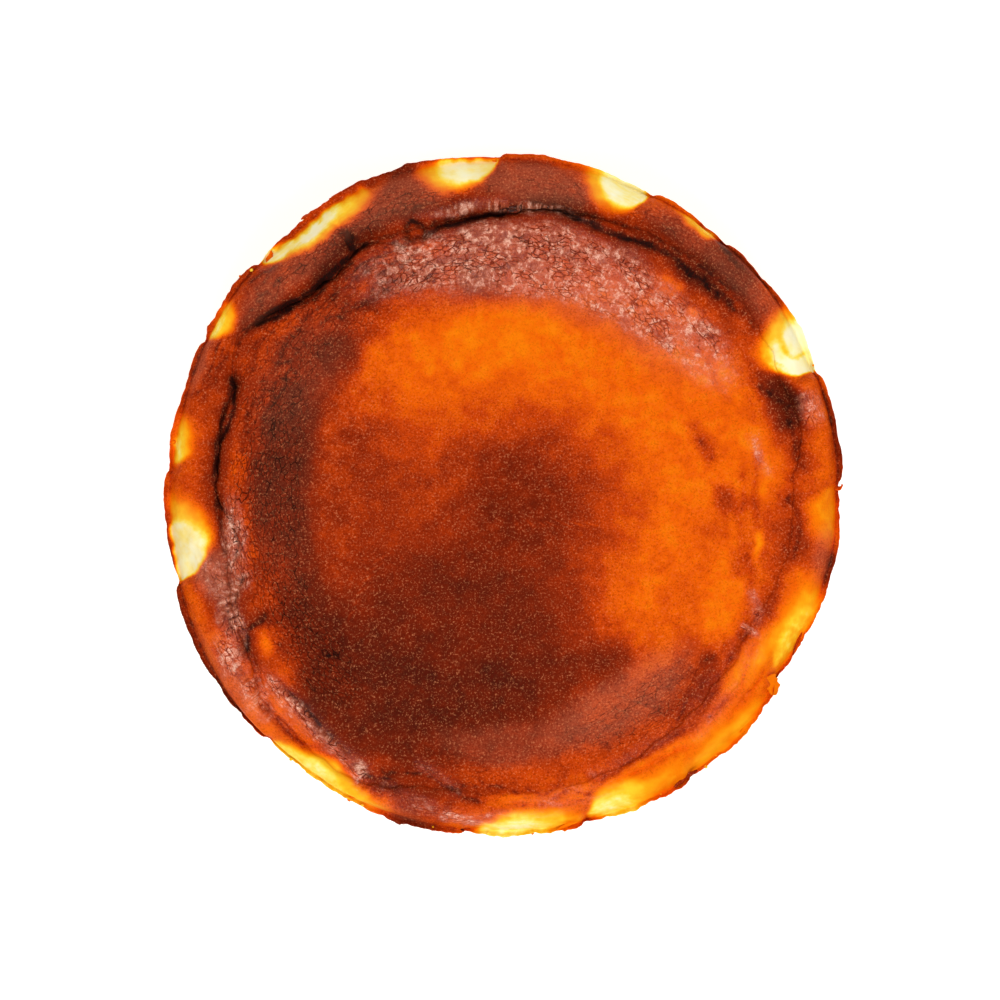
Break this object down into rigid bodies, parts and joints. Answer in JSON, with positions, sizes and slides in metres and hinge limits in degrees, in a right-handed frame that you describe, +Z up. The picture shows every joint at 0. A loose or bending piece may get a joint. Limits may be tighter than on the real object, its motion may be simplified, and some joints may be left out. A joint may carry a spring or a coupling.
{
  "type": "burnt-top cheesecake",
  "caption": "Whole round burnt-top baked cheesecake: sunken dark caramel centre, creased puffed rim with pale custard pockets, and a wall pleated by baking paper.",
  "frame": {"origin": "centre of the flat base, on the surface that the cake stands on", "axes": "+Z up out of the browned top; +X and +Y across the cake, with +Y away from the palest and least browned stretch of the rim"},
  "size_m": [0.219, 0.2224, 0.0501],
  "materials": {
    "browned_crust": "baked custard crust, caramel brown to nearly black, slightly glossy"
  },
  "bodies": {
    "root": {"cheesecake": "browned_crust"}
  },
  "joints": []
}
